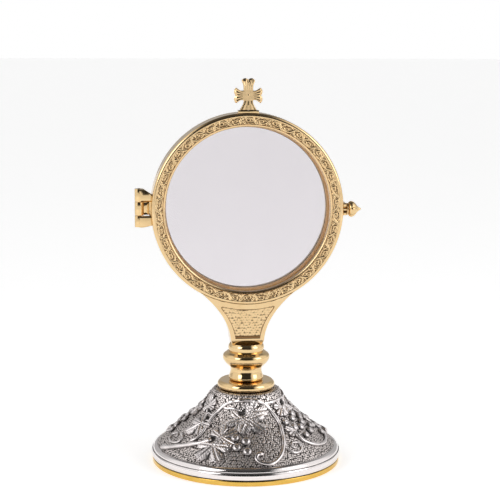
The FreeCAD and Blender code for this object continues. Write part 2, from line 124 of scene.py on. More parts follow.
def line(start, end, count):
    """Points on a straight run, without its last point."""
    steps = np.linspace(0, 1, count, endpoint=False)
    return [(start[0] + (end[0] - start[0]) * s, start[1] + (end[1] - start[1]) * s) for s in steps]


def grid_faces(rows, cols, wrap_rows=False, wrap_cols=False):
    """Quads of a rows by cols grid of vertices, closed on itself where it wraps."""
    faces = []
    for i in range(rows if wrap_rows else rows - 1):
        this = i * cols
        after = ((i + 1) % rows) * cols
        for j in range(cols if wrap_cols else cols - 1):
            k = (j + 1) % cols
            faces.append((this + j, this + k, after + k, after + j))
    return faces


def link_new(name, data):
    """New object for the data, linked to the scene."""
    thing = bpy.data.objects.new(name, data)
    bpy.context.scene.collection.objects.link(thing)
    return thing


class Shell:
    """Vertices in millimetres, faces and a relief value from 0 in a recess to 1 on top."""

    def __init__(self):
        self.verts = []
        self.faces = []
        self.relief = []
        self.count = 0

    def add(self, verts, faces, relief=None):
        """Take in a sheet or a closed form; one without relief values counts as all high."""
        verts = np.asarray(verts, float).reshape(-1, 3)
        if relief is None:
            relief = np.ones(len(verts))
        self.verts.append(verts)
        self.relief.append(np.asarray(relief, float).reshape(-1))
        self.faces += [tuple(i + self.count for i in f) for f in faces]
        self.count += len(verts)

    def build(self, name, material, body, nodes, sharp=40, weld=0.0):
        """Make the piece; edges over sharp degrees stay crisp, points within weld are joined."""
        mesh = bpy.data.meshes.new(name)
        mesh.from_pydata((np.vstack(self.verts) * MM).tolist(), [], self.faces)
        mesh.update()
        piece = link_new(name, mesh)
        values = mesh.attributes.new("recess", "FLOAT", "POINT")
        values.data.foreach_set("value", 1 - np.concatenate(self.relief).astype(np.float32))
        finish_mesh(piece, sharp, weld)
        return place(piece, material, body, nodes)


def finish_mesh(piece, sharp, weld=0.0):
    """Join up doubled points, turn all faces outwards and shade smooth but for sharp edges."""
    mesh = piece.data
    bm = bmesh.new()
    bm.from_mesh(mesh)
    if weld:
        bmesh.ops.remove_doubles(bm, verts=bm.verts, dist=weld * MM)
    bmesh.ops.recalc_face_normals(bm, faces=bm.faces)
    bm.to_mesh(mesh)
    bm.free()
    mesh.shade_smooth()
    mesh.set_sharp_from_angle(angle=math.radians(sharp))


def place(piece, material, body, nodes):
    """Give the piece its material, hang it on what it rides on and hide the CAD nodes it stands for.
    """
    piece.data.materials.clear()
    piece.data.materials.append(material)
    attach(piece, body)
    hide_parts(*nodes)
    return piece


def lathe_points(profile, segments):
    """Rows of (radius, angle, height) for a profile turned about the Z axis."""
    profile = np.array(profile, float)
    angle = np.linspace(0, 2 * math.pi, segments, endpoint=False)
    r, t = np.meshgrid(profile[:, 0], angle, indexing="ij")
    h = np.repeat(profile[:, 1][:, None], segments, axis=1)
    return r, t, h


def upright(r, t, h):
    """Placing function for a piece turned about the Z axis."""
    return np.stack([r * np.cos(t), r * np.sin(t), h], -1)


def in_case(facing):
    """Placing function for a ring of the case whose height points along facing * Y."""

    def put(r, t, h):
        return np.stack([r * np.cos(t), facing * h, WINDOW_Z + r * np.sin(t)], -1)

    return put


def turned(shell, profile, segments, put=upright, relief=None):
    """Add a closed turned ring; relief(h) gives its relief values by height."""
    r, t, h = lathe_points(profile, segments)
    value = np.ones_like(r) if relief is None else relief(h)
    shell.add(put(r, t, h), grid_faces(len(profile), segments, True, True), value)


# ---- materials -------------------------------------------------------------------------
class Look:
    """Node tree of a material or of the world, and the shader its values end in."""

    def __init__(self, owner, shader="Principled BSDF"):
        owner.use_nodes = True
        self.owner = owner
        self.nodes = owner.node_tree.nodes
        self.links = owner.node_tree.links
        self.shader = self.nodes[shader]

    def feed(self, socket, value):
        """Link an output into the socket, or set the socket to a number or a colour."""
        if isinstance(value, bpy.types.NodeSocket):
            self.links.new(value, socket)
        elif isinstance(value, tuple):
            socket.default_value = (*value, 1.0)
        else:
            socket.default_value = value

    def give(self, name, value):
        """Feed one of the shader's own inputs."""
        self.feed(self.shader.inputs[name], value)

    def noise(self, scale, detail=4.0, rough=0.55):
        """Noise in object coordinates; scale is in features per metre."""
        coords = self.nodes.new("ShaderNodeTexCoord")
        texture = self.nodes.new("ShaderNodeTexNoise")
        texture.inputs["Scale"].default_value = scale
        texture.inputs["Detail"].default_value = detail
        texture.inputs["Roughness"].default_value = rough
        self.links.new(coords.outputs["Object"], texture.inputs["Vector"])
        return texture.outputs["Fac"]

    def relief(self):
        """1 on the high parts and 0 in the recesses; pieces with no such marks are all high."""
        node = self.nodes.new("ShaderNodeAttribute")
        node.attribute_name = "recess"
        return self.spread(node.outputs["Fac"], 0.0, 1.0, 1.0, 0.0)

    def ramp(self, value, stops):
        """Colour by value, from (position, colour) stops."""
        node = self.nodes.new("ShaderNodeValToRGB")
        elements = node.color_ramp.elements
        while len(elements) < len(stops):
            elements.new(0.5)
        for element, (position, colour) in zip(elements, stops):
            element.position = position
            element.color = (*colour, 1.0)
        self.links.new(value, node.inputs["Fac"])
        return node.outputs["Color"]

    def spread(self, value, low, high, to_low=0.0, to_high=1.0, kind="LINEAR"):
        """The value's range from low to high, spread over another range."""
        node = self.nodes.new("ShaderNodeMapRange")
        node.interpolation_type = kind
        self.links.new(value, node.inputs["Value"])
        limits = {"From Min": low, "From Max": high, "To Min": to_low, "To Max": to_high}
        for name, limit in limits.items():
            self.feed(node.inputs[name], limit)
        return node.outputs["Result"]

    def step(self, value, low, high):
        """0 below low and 1 above high, with a smooth change between them."""
        return self.spread(value, low, high, kind="SMOOTHSTEP")

    def maths(self, operation, *values):
        """Sum, product and so on of outputs and numbers."""
        node = self.nodes.new("ShaderNodeMath")
        node.operation = operation
        for socket, value in zip(node.inputs, values):
            self.feed(socket, value)
        return node.outputs[0]

    def multiplied(self, first, second):
        """Product of two colours."""
        node = self.nodes.new("ShaderNodeMix")
        node.data_type = "RGBA"
        node.blend_type = "MULTIPLY"
        node.inputs["Factor"].default_value = 1.0
        self.feed(node.inputs[6], first)
        self.feed(node.inputs[7], second)
        return node.outputs[2]

    def bump(self, height, distance):
        """Bump of the given distance in millimetres."""
        node = self.nodes.new("ShaderNodeBump")
        node.inputs["Distance"].default_value = distance * MM
        node.inputs["Strength"].default_value = 1.0
        self.links.new(height, node.inputs["Height"])
        self.give("Normal", node.outputs["Normal"])


def new_look(name):
    """Look of a new material."""
    return Look(bpy.data.materials.new(name))


def gold(name, bright, deep, recess, rough_low, rough_high, bump, metallic=1.0):
    """Gold plate: cloudy tone, fine wipe marks in the gloss, and painted shade that darkens the
    recesses.
    """
    look = new_look(name)
    look.give("Metallic", metallic)
    tone = look.ramp(look.noise(90.0, 5.0), [(0.3, deep), (0.7, bright)])
    # painted shade: the recess colour darkens the base colour where the relief value is low
    low = look.ramp(look.relief(), [(0.0, recess), (0.75, (1.0, 1.0, 1.0))])
    look.give("Base Color", look.multiplied(tone, low))
    wipe = look.noise(700.0, 3.0, 0.6)
    look.give("Roughness", look.spread(wipe, 0.3, 0.7, rough_low, rough_high))
    look.bump(look.noise(260.0, 4.0), bump)
    return look.owner


# third colour of each: the painted shade in its recesses
GOLD_POLISHED = gold(
    "gold_polished", (0.82, 0.60, 0.32), (0.75, 0.53, 0.27), (0.5, 0.4, 0.3), 0.05, 0.12, 0.012
)
GOLD_CHASED = gold(
    "gold_chased", (0.82, 0.60, 0.335), (0.75, 0.535, 0.285), (0.15, 0.08, 0.03), 0.12, 0.20, 0.02
)
GOLD_MATT = gold(
    "gold_matt", (0.95, 0.60, 0.23), (0.88, 0.54, 0.20), (0.5, 0.4, 0.3), 0.45, 0.60, 0.02, 0.1
)
GOLD_BASE = gold(
    "gold_base", (0.79, 0.50, 0.12), (0.69, 0.43, 0.09), (0.5, 0.4, 0.3), 0.10, 0.20, 0.015
)


def silver(name, gloss, high):
    """Antiqued silver plate: black in the recesses, polished on the high relief."""
    look = new_look(name)
    look.give("Metallic", 1.0)
    edge = look.spread(look.noise(160.0, 5.0), 0.3, 0.7, -0.12, 0.12)
    level = look.maths("ADD", look.relief(), edge)
    black = (0.025, 0.023, 0.021)
    grey = tuple(0.32 * c for c in high)
    look.give("Base Color", look.ramp(level, [(0.08, black), (0.45, grey), (0.8, high)]))
    look.give("Roughness", look.spread(level, 0.1, 0.9, 0.55, gloss))
    look.bump(look.noise(900.0, 3.0), 0.02)
    return look.owner


SILVER = silver("silver_antique", 0.24, (0.88, 0.82, 0.81))
SILVER_GROUND = silver("silver_ground", 0.38, (0.92, 0.84, 0.81))
SILVER_RIM = silver("silver_rim", 0.10, (0.84, 0.79, 0.78))


def steel():
    """Turned steel: mottled grey with a fine dull grain."""
    look = new_look("steel")
    look.give("Metallic", 1.0)
    cloud = look.noise(300.0)
    look.give("Base Color", look.ramp(cloud, [(0.3, (0.42, 0.42, 0.42)), (0.7, (0.58, 0.58, 0.57))]))
    look.give("Roughness", look.spread(cloud, 0.3, 0.7, 0.28, 0.42))
    look.bump(look.noise(1500.0), 0.02)
    return look.owner


STEEL = steel()


def glass():
    """Clear pane with a faint cool tint and a breath of haze, open to rays from the lamps."""
    look = new_look("pane_glass")
    look.give("Transmission Weight", 1.0)
    look.give("IOR", 1.45)
    look.give("Roughness", 0.0)
    haze = [(0.3, (0.878, 0.858, 0.874)), (0.7, (0.884, 0.864, 0.880))]
    look.give("Base Color", look.ramp(look.noise(25.0, 2.0), haze))
    clear = look.nodes.new("ShaderNodeBsdfTransparent")
    clear.inputs["Color"].default_value = (0.88, 0.86, 0.875, 1.0)
    path = look.nodes.new("ShaderNodeLightPath")
    through = look.nodes.new("ShaderNodeMixShader")
    look.links.new(path.outputs["Is Shadow Ray"], through.inputs[0])
    look.links.new(look.shader.outputs["BSDF"], through.inputs[1])
    look.links.new(clear.outputs["BSDF"], through.inputs[2])
    look.links.new(through.outputs["Shader"], look.nodes["Material Output"].inputs["Surface"])
    return look.owner


GLASS = glass()


# ---- foot ------------------------------------------------------------------------------
RIM_Z = FOOT_BOTTOM_Z + 6.4      # where the plain rim band ends in a fine groove
SKIN_T = 0.9                     # the stippled skin over the smooth body of the foot
ROD_BORE = 3.1                   # radius of the hole for the tie rod, all the way up
SEAT_T = 4.0                     # plate at the top of the foot that the rod clamps
BEAD_PITCH = 2.0                 # beads of the stippled ground
BEAD_BAND = 11.0                 # rows of beads start afresh each band, so that they stay round
BEAD_R = 0.58 * BEAD_PITCH
BEAD_RISE = 0.55
BELL = smooth(
    [
        (BASE_R - 3.6, RIM_Z + 4.1), (70.2, 22.0), (57.0, 32.6), (43.8, 43.2), (35.3, 52.3),
        (31.2, 60.0), (29.6, 62.9), (28.0, FOOT_TOP_Z - 0.25), (26.0, FOOT_TOP_Z), (23.8, FOOT_TOP_Z),
    ],
    24,
)


class BellSurface:
    """Outside of the bell, by angle round from the front and distance up its slope."""

    def __init__(self, outline):
        points = np.array(outline)
        steps = np.hypot(*np.diff(points, axis=0).T)
        self.slope = np.concatenate([[0], np.cumsum(steps)])
        self.r, self.z = points.T
        self.length = self.slope[-1]

    def slope_at(self, z):
        return np.interp(z, self.z, self.slope)

    def radius_at(self, slope):
        return np.interp(slope, self.slope, self.r)

    def profile(self, slope, height):
        """Radius and z at a height above the surface, measured along its normal."""
        reach = 0.6
        ahead = np.clip(slope + reach, 0, self.length)
        back = np.clip(slope - reach, 0, self.length)
        dr = self.radius_at(ahead) - self.radius_at(back)
        dz = np.interp(ahead, self.slope, self.z) - np.interp(back, self.slope, self.z)
        size = np.hypot(dr, dz)
        z = np.interp(slope, self.slope, self.z)
        return self.radius_at(slope) + height * dz / size, z - height * dr / size

    def point(self, angle, slope, height):
        angle, slope, height = np.broadcast_arrays(angle, slope, height)
        r, z = self.profile(slope, height)
        turn = np.radians(angle)
        return np.stack([r * np.sin(turn), -r * np.cos(turn), z], -1)


BELL_SURFACE = BellSurface(BELL)


def scattered(width, height, pitch):
    """Loose points about pitch apart over a rectangle that joins up across its width."""
    rows = max(1, round(height / (pitch * 0.87)))
    cols = max(1, round(width / pitch))
    v, u = np.mgrid[0:rows, 0:cols].astype(float)
    u += (v % 2) * 0.5 + RNG.uniform(-0.24, 0.24, u.shape)
    v += 0.5 + RNG.uniform(-0.24, 0.24, v.shape)
    return np.stack([(u.ravel() * width / cols) % width, v.ravel() * height / rows], -1)


def to_nearest(u, v, points, width=None):
    """Distance from each (u, v) to the nearest of the points, joining up across width."""
    tree = KDTree(len(points) * (3 if width else 1))
    shifts = (-width, 0.0, width) if width else (0.0,)
    index = 0
    for shift in shifts:
        for pu, pv in points:
            tree.insert((pu + shift, pv, 0.0), index)
            index += 1
    tree.balance()
    flat = [tree.find((a, b, 0.0))[2] for a, b in zip(u.ravel(), v.ravel())]
    return np.array(flat).reshape(u.shape)


def rim_outline():
    """Outside of the foot's rim, from its underside up to the edge of the bell."""
    underside = line((BASE_R - 6.0, FOOT_BOTTOM_Z), (BASE_R - 0.5, FOOT_BOTTOM_Z), 3)
    widest = (BASE_R + 0.75, FOOT_BOTTOM_Z + 3.2)
    band = arc((BASE_R - 0.5, FOOT_BOTTOM_Z), widest, (BASE_R + 0.1, RIM_Z), 16)
    groove = [(BASE_R - 0.5, RIM_Z + 0.05), (BASE_R - 0.75, RIM_Z + 0.3)]
    step_middle = (BASE_R - 1.3, RIM_Z + 2.6)
    step = arc((BASE_R - 0.6, RIM_Z + 0.5), step_middle, (BASE_R - 3.6, RIM_Z + 4.1), 14)
    return underside + band + groove + step


def foot_inside():
    """Inside of the hollow foot, from the rod's hole out and down to the rim."""
    seat_z = FOOT_TOP_Z - SEAT_T
    points = [(ROD_BORE, FOOT_TOP_Z), (ROD_BORE, seat_z)]
    points += line((ROD_BORE + 1.0, seat_z), (25.6, seat_z), 4)
    flank = [(28.4, 57.0), (33.4, 49.8), (42.0, 40.6), (53.8, 31.4), (66.0, 21.8), (74.4, 12.0)]
    return points + smooth([(25.6, seat_z)] + flank, 5)


def rim_patina_and_shade(height):
    """Relief value of the rim: patina low in its groove, and painted shade lower yet under its edge.
    """
    in_groove = np.abs(height - RIM_Z - 0.2) < 0.25
    # painted shade: the underside of the rim and its lowest millimetre are darkened
    painted_shade_under_edge = height < FOOT_BOTTOM_Z + 1.0
    return np.where(painted_shade_under_edge, 0.15, np.where(in_groove, 0.4, 1.0))


def make_foot_body():
    """Smooth casting under the skin: rolled rim, hollow inside and the seat for the stem."""
    shell = Shell()
    slopes = np.linspace(1.0, BELL_SURFACE.length, 40)
    under = [BELL_SURFACE.profile(s, -SKIN_T + 0.1) for s in slopes]
    profile = rim_outline() + [tuple(p) for p in under] + foot_inside()
    turned(shell, profile, 240, relief=rim_patina_and_shade)
    shell.build("foot_body", SILVER_RIM, "stand", ["foot"])


def make_foot_ground():
    """Stippled skin of the bell: close, loosely set beads."""
    shell = Shell()
    segments, rows = 740, 124
    slopes = np.linspace(0, BELL_SURFACE.length, rows)
    angle = np.linspace(0, 360, segments, endpoint=False)
    lift = np.zeros((rows, segments))
    for low in np.arange(0, BELL_SURFACE.length, BEAD_BAND):
        pick = (slopes >= low) & (slopes < low + BEAD_BAND)
        width = 2 * math.pi * float(BELL_SURFACE.radius_at(low + BEAD_BAND / 2))
        u, v = np.meshgrid(angle / 360 * width, slopes[pick] - low)
        gap = to_nearest(u, v, scattered(width, BEAD_BAND, BEAD_PITCH), width)
        lift[pick] = np.clip(1 - (gap / BEAD_R) ** 2, 0, 1)
    edge = np.minimum(slopes, BELL_SURFACE.length - slopes)
    lift = lift ** 0.7 * np.clip(edge / 1.0, 0, 1)[:, None]
    top = [BELL_SURFACE.point(angle, s, -0.5 + BEAD_RISE * row) for s, row in zip(slopes, lift)]
    under = [BELL_SURFACE.point(angle, s, -SKIN_T) for s in slopes[::-16]]
    value = 0.98 * np.clip(1.7 * lift - 0.5, 0, 1)
    value = np.concatenate([value, np.zeros((len(under), segments))])
    shell.add(np.array(top + under), grid_faces(rows + len(under), segments, True, True), value)
    shell.build("foot_ground", SILVER_GROUND, "stand", ["foot"], sharp=180)


# ---- vine on the foot ------------------------------------------------------------------
# Points of the vine are (degrees round from the front, height above the table).
MM_PER_DEGREE = 0.96             # at the middle of the bell
ROOT_DEPTH = 0.7                 # relief pieces start this far below the ground
SIDE_VEIN_PITCH = 2.2
STEM_SIDES = 9                   # points round the half-round section of a stem
STEMS = [
    # width at the start and at the end, then the way it runs; first the cut branch, low on
    # the left, up to the fork
    (4.9, 3.7, [(-77, 16.5), (-64, 21), (-53, 25), (-44, 28), (-36, 31)]),
    # main vine: over the top of the bell, down on the right and into a spiral
    (2.9, 3.4, [(-55, 27), (-50, 30.5), (-49, 37), (-50, 43), (-47, 49), (-41, 54.5),
                (-30, 58.3), (-16, 60), (-3, 60.5), (8, 60), (20, 57), (26, 54), (30, 49),
                (32, 43), (29, 36), (26, 31), (22, 25.5), (16, 20), (10, 17), (4, 17.8),
                (0.5, 20.5), (2, 23.3), (6, 23.4)]),
    # shoots at the top
    (2.5, 2.1, [(-41, 54.4), (-36, 53.3), (-27, 53.6), (-18, 53), (-12, 52)]),
    (1.5, 1.2, [(-12, 53), (-5, 57), (4, 60), (11, 58)]),
    (2.9, 2.4, [(20, 57), (40, 57.3), (58, 58), (76, 58), (88, 61)]),
    # tendril low on the right of the middle, curled twice
    (2.6, 2.0, [(27, 32), (25, 26), (29, 22), (34, 22), (38, 24.5), (37, 27.5), (32, 28),
                (30.5, 25.5), (33, 24.8)]),
    # shoot under the right-hand cluster
    (3.2, 2.5, [(42, 32), (44, 28), (52, 23), (63, 21), (74, 22), (84, 25), (86, 30),
                (82, 34), (80, 42), (74, 49)]),
    # curls on the left
    (2.7, 2.0, [(-72, 29.5), (-66, 28), (-65, 24.5), (-72, 22.5), (-80, 23.5), (-81.5, 26.5),
                (-76, 28.3), (-73, 26.5)]),
    (2.1, 1.7, [(-47, 48), (-53, 46.5), (-60, 47), (-63, 44.5), (-58, 42), (-51, 42.5)]),
    (2.1, 1.7, [(-64, 47), (-70, 52), (-74, 57), (-84, 60)]),
]
LEAVES = [
    # node, tip, width over length
    ((-12, 50.5), (13, 37.5), 0.85), ((-12, 51), (24, 51.5), 0.55), ((-12, 50.5), (-14, 36.5), 0.95),
    ((-35, 31), (-14, 38.5), 0.75), ((-36, 31.5), (-24, 17.5), 1.05),
    ((-53, 43), (-67, 30.5), 0.7), ((-63, 48), (-73, 61), 0.65),
    ((53, 54), (37, 46), 0.8), ((56, 54), (72, 47), 0.8), ((46, 33), (34, 38), 0.8),
    ((-88, 50), (-98, 40), 0.9),
]
GRAPES = [
    # degrees, height, radius
    (-16, 33.5, 3.6), (-6.5, 31.5, 4.0), (-13.5, 27.5, 3.7), (-5.5, 25, 3.9), (-20, 28.5, 2.8),
    (53, 50.5, 3.2), (47, 46.5, 3.1), (61, 44.5, 3.5), (54, 42, 3.3), (40, 41, 3.2),
    (46, 36.5, 3.6), (55, 35.5, 3.4), (63, 37.5, 3.5), (52, 30, 3.2), (62, 31, 3.6),
    (71, 33, 3.2), (70, 40, 3.2),
    (-102, 25.5, 3.4), (-96, 30.5, 3.6), (-104, 32, 3.4), (-93, 36, 3.4), (-100, 38, 3.4),
    (-106, 41, 3.2), (-92, 27, 3.2), (-96, 45, 3.2),
]
MOTIFS = 2                       # the vine runs round the foot this many times


def on_chart(points):
    """Distance along and up the bell's slope for (degrees, z) points."""
    degrees, z = np.array(points, float).T
    return np.stack([degrees * MM_PER_DEGREE, BELL_SURFACE.slope_at(z)], -1)


def from_chart(u, v, height):
    """Points in space; u near the rim covers fewer degrees than high on the bell."""
    return BELL_SURFACE.point(u / MM_PER_DEGREE, v, height)


def evenly(path, spacing):
    """Points about spacing apart along a path, and each one's share of its length."""
    path = np.array(path)
    along = np.concatenate([[0], np.cumsum(np.hypot(*np.diff(path, axis=0).T))])
    at = np.linspace(0, along[-1], max(3, int(along[-1] / spacing) + 1))
    return np.stack([np.interp(at, along, path[:, k]) for k in (0, 1)], -1), at / along[-1]


def chart_scale(v):
    """Millimetres on the chart for one on the metal, round the bell at slope v."""
    return MM_PER_DEGREE / (math.radians(1) * BELL_SURFACE.radius_at(v))


def add_stem(shell, start_width, end_width, points):
    """Half-round stem laid on the bell along a smooth curve, a groove down its middle."""
    route, share = evenly(smooth(on_chart(points), 10), 0.75)
    centre = from_chart(route[:, 0], route[:, 1], 0.0)
    lifted = from_chart(route[:, 0], route[:, 1], 1.0)
    normal = lifted - centre
    ahead = np.gradient(centre, axis=0)
    ahead /= np.linalg.norm(ahead, axis=1)[:, None]
    across = np.cross(normal, ahead)
    half = (start_width + (end_width - start_width) * share) / 2
    half *= 1 + 0.10 * np.sin(share * len(share) * 0.35)
    tips = np.minimum(np.arange(len(share)), np.arange(len(share))[::-1])
    half *= np.clip(0.55 + 0.25 * tips, 0, 1)
    turns = np.linspace(0, math.pi, STEM_SIDES)
    side = np.concatenate([np.cos(turns), [-1, 1]])
    rise = np.concatenate([np.sin(turns) ** 0.8, [0, 0]])
    dip = np.concatenate([0.12 * np.exp(-(np.cos(turns) / 0.3) ** 2), [0, 0]])
    root = np.concatenate([np.zeros(STEM_SIDES), [-ROOT_DEPTH] * 2])
    value = np.concatenate([0.25 + 0.75 * np.sin(turns), [0, 0]])
    rows = []
    for i in range(len(route)):
        height = 1.25 * half[i] * (rise - dip) + root
        rows.append(centre[i] + np.outer(side * half[i], across[i]) + np.outer(height, normal[i]))
    count, last = len(side), len(route) - 1
    faces = grid_faces(len(route), count, False, True)
    faces += [tuple(range(count)), tuple(range(last * count, (last + 1) * count))]
    shell.add(rows, faces, np.tile(value, len(route)))


def add_grape(shell, degrees, z, radius):
    """Round berry, a little flattened, with a small dimple where the flower was."""
    (u, v), = on_chart([(degrees, z)])
    rings, around = 10, 20
    up = np.linspace(0, 0.62 * math.pi, rings)
    turn = np.linspace(0, 2 * math.pi, around, endpoint=False)
    reach = radius * np.sin(up)[:, None]
    height = (radius * (0.25 + 0.62 * np.cos(up)) - 0.5 * np.exp(-(up / 0.25) ** 2))[:, None]
    x, y = reach * np.cos(turn), reach * np.sin(turn)
    points = from_chart(u + x * chart_scale(v), v + y, height)
    value = np.repeat(np.clip(1.1 - up / (0.6 * math.pi), 0.1, 1)[:, None], around, 1)
    shell.add(points, grid_faces(rings, around, False, True), value)


# heading of each lobe, and how far it reaches as a share of the leaf's length
LOBES = [(0.0, 0.70), (1.05, 0.66), (-1.05, 0.66), (2.1, 0.54), (-2.1, 0.54)]
LEAF_HEART = 0.30                # the lobes spread from here, as a share of the leaf's length
LOBE_SPREAD = 0.86               # half width of a lobe, in radians
TEETH = 6.0                      # teeth in each radian of the edge
LEAF_RISE = 1.7                  # height of a leaf above the ground, before these are added
CROWN, MIDRIB, SIDE_VEIN, CLEFT, CURL = 0.4, -0.5, -0.3, -0.9, -0.25


def leaf_edge(turn, length, breadth):
    """Distance from the leaf's heart to its toothed edge in each direction."""
    edge = np.full(turn.shape, 0.38 * length)
    for direction, reach in LOBES:
        off = np.abs(turn - direction) / LOBE_SPREAD
        stretch = 1.0 if direction == 0 else 0.45 + 0.55 * breadth
        edge = np.maximum(edge, length * reach * stretch * np.clip(1 - off ** 2.2, 0, 1))
    return edge * (0.93 + 0.14 * ((np.abs(turn) * TEETH) % 1.0))


def leaf_veins(along, across):
    """Distance to the nearest lobe's midrib, and distance along it from the heart."""
    aside, onward = np.full_like(along, 9.0), np.zeros_like(along)
    for direction, _ in LOBES:
        side = across * math.cos(direction) - along * math.sin(direction)
        ahead = along * math.cos(direction) + across * math.sin(direction)
        nearer = (ahead > 0) & (np.abs(side) < np.abs(aside))
        aside, onward = np.where(nearer, side, aside), np.where(nearer, ahead, onward)
    return np.abs(aside), onward


def add_leaf(shell, node, tip, breadth):
    """Vine leaf: five toothed lobes, each crowned beside an engraved midrib, cut down all round."""
    (u0, v0), (u1, v1) = on_chart([node, tip])
    scale = chart_scale((v0 + v1) / 2)
    du, dv = (u1 - u0) / scale, v1 - v0
    length, heading = math.hypot(du, dv), math.atan2(dv, du)
    rings, around = 22, 176
    turn = np.linspace(-math.pi, math.pi, around, endpoint=False)
    edge = leaf_edge(turn, length, breadth)
    t = np.concatenate([[0.02], np.linspace(0.06, 0.97, rings), [1.0]])[:, None]
    along, across = t * edge * np.cos(turn), t * edge * np.sin(turn)
    aside, onward = leaf_veins(along, across)
    midrib = np.exp(-(aside / 0.42) ** 2) * np.clip((onward - 0.6) / 1.2, 0, 1)
    crown = np.exp(-((aside - 1.7) / 1.5) ** 2)
    side_vein = 0.5 + 0.5 * np.cos((onward - 0.9 * aside) * 2 * math.pi / SIDE_VEIN_PITCH)
    side_vein *= np.clip((aside - 0.5) / 1.0, 0, 1)
    lobe = np.min([np.abs(turn - direction) for direction, _ in LOBES], axis=0)
    cleft = np.clip((lobe - 0.36) / 0.16, 0, 1) * np.clip((t - 0.25) / 0.3, 0, 1)
    height = LEAF_RISE + CROWN * crown + MIDRIB * midrib + SIDE_VEIN * side_vein
    height = height + CLEFT * cleft + CURL * t ** 4
    value = 0.98 + 0.1 * crown - 0.7 * midrib - 0.4 * side_vein - 0.75 * cleft
    height[-1], value[-1] = -ROOT_DEPTH, 0.0
    x = (along + LEAF_HEART * length) * math.cos(heading) - across * math.sin(heading)
    y = (along + LEAF_HEART * length) * math.sin(heading) + across * math.cos(heading)
    v = np.clip(v0 + y, 0.3, BELL_SURFACE.length - 0.3)
    points = from_chart(u0 + x * scale, v, height)
    shell.add(points, grid_faces(len(t), around, False, True) + [tuple(range(around))], value)


def make_vine():
    """The vine, its leaves and grapes, copied evenly round the foot."""
    for motif in range(MOTIFS):
        shell = Shell()
        for start_width, end_width, points in STEMS:
            add_stem(shell, start_width, end_width, points)
        for node, tip, breadth in LEAVES:
            add_leaf(shell, node, tip, breadth)
        for degrees, z, radius in GRAPES:
            add_grape(shell, degrees, z, radius)
        turn = 2 * math.pi * motif / MOTIFS
        c, s = math.cos(turn), math.sin(turn)
        spin = np.array([[c, s, 0], [-s, c, 0], [0, 0, 1]])
        shell.verts = [v @ spin for v in shell.verts]
        shell.build(f"vine_{motif + 1}", SILVER, "stand", ["foot"], sharp=50)


make_foot_body()
make_foot_ground()
make_vine()


# ---- stem ------------------------------------------------------------------------------
def stem_ring(name, outline):
    """Turned stem piece: outline from its foot to its top, closed onto the rod's bore."""
    shell = Shell()
    bottom, top = outline[0][1], outline[-1][1]
    profile = [(ROD_BORE, bottom)] + line((ROD_BORE + 2, bottom), outline[0], 3) + outline
    profile += line(outline[-1], (ROD_BORE, top), 4)[1:] + [(ROD_BORE, top)]
    turned(shell, profile, 192)
    shell.build(name + "_look", GOLD_POLISHED, "stand", [name])


def make_stem():
    """Flange, spool, knop and collar, one on the other."""
    spool_z, knop_z, collar_z = node_top("flange"), node_bottom("knop"), node_top("knop")
    edge = arc((22.9, FOOT_TOP_Z), (25.1, FOOT_TOP_Z + 3.4), (23.2, spool_z - 0.4), 24)
    edge += smooth([(23.1, spool_z - 0.3), (22.8, spool_z - 0.06), (22.3, spool_z)], 3)
    stem_ring("flange", edge + line((21.5, spool_z), (14.0, spool_z), 6))
    spool = [
        (13.0, 0.0), (14.5, 0.9), (15.1, 2.5), (14.7, 4.4), (13.9, 7.0), (13.6, 9.9),
        (14.4, knop_z - spool_z),
    ]
    knop = [(15.2, 0.0), (18.8, 3.8), (20.4, 7.0), (20.0, 10.2), (16.6, collar_z - knop_z)]
    collar = [(14.9, 0.0), (15.3, 1.5), (15.7, 3.6), (15.3, 5.5), (14.2, NECK_Z - collar_z)]
    for name, low, outline, count in (
        ("spool", spool_z, spool, 8), ("knop", knop_z, knop, 12), ("collar", collar_z, collar, 9)
    ):
        stem_ring(name, smooth([(radius, low + rise) for radius, rise in outline], count))


make_stem()


def make_base_ring():
    """Plain gold ring under the silver rim, with the spigot that centres it."""
    shell = Shell()
    inner, spigot, spigot_rise = BASE_R - 14.0, BASE_R - 7.0, 2.5
    edge, low, high = 0.8, 0.0, FOOT_BOTTOM_Z
    profile = line((inner, low), (BASE_R - edge, low), 4)
    quarter = edge * (1 - math.sqrt(0.5))
    profile += arc((BASE_R - edge, low), (BASE_R - quarter, low + quarter), (BASE_R, low + edge), 7)
    profile += arc((BASE_R, high - edge), (BASE_R - quarter, high - quarter), (BASE_R - edge, high), 7)
    profile += line((BASE_R - edge - 0.5, high), (spigot, high), 4)
    profile += [(spigot, high), (spigot, high + spigot_rise), (inner, high + spigot_rise)]
    turned(shell, profile, 256)
    shell.build("base_ring_look", GOLD_BASE, "stand", ["base_ring"])


make_base_ring()


# ---- case: chased rings ----------------------------------------------------------------
BAND_IN, BAND_OUT = 2.0, 8.6     # the chased band, outwards from each ring's lip
BAND_MIDDLE_R = 76.0
BAND_DEPTH = 0.5
BAND_ROWS = 30
LIP_ROUND = 1.8
SHOULDER_R = 2.6
SCROLLS = 21                     # periods of the scroll round a ring
PER_SCROLL = 86                  # columns of vertices in one period
DOT_PITCH = 1.15                 # punched dots of the ground between the scrolls
DOT_R = 0.55 * DOT_PITCH


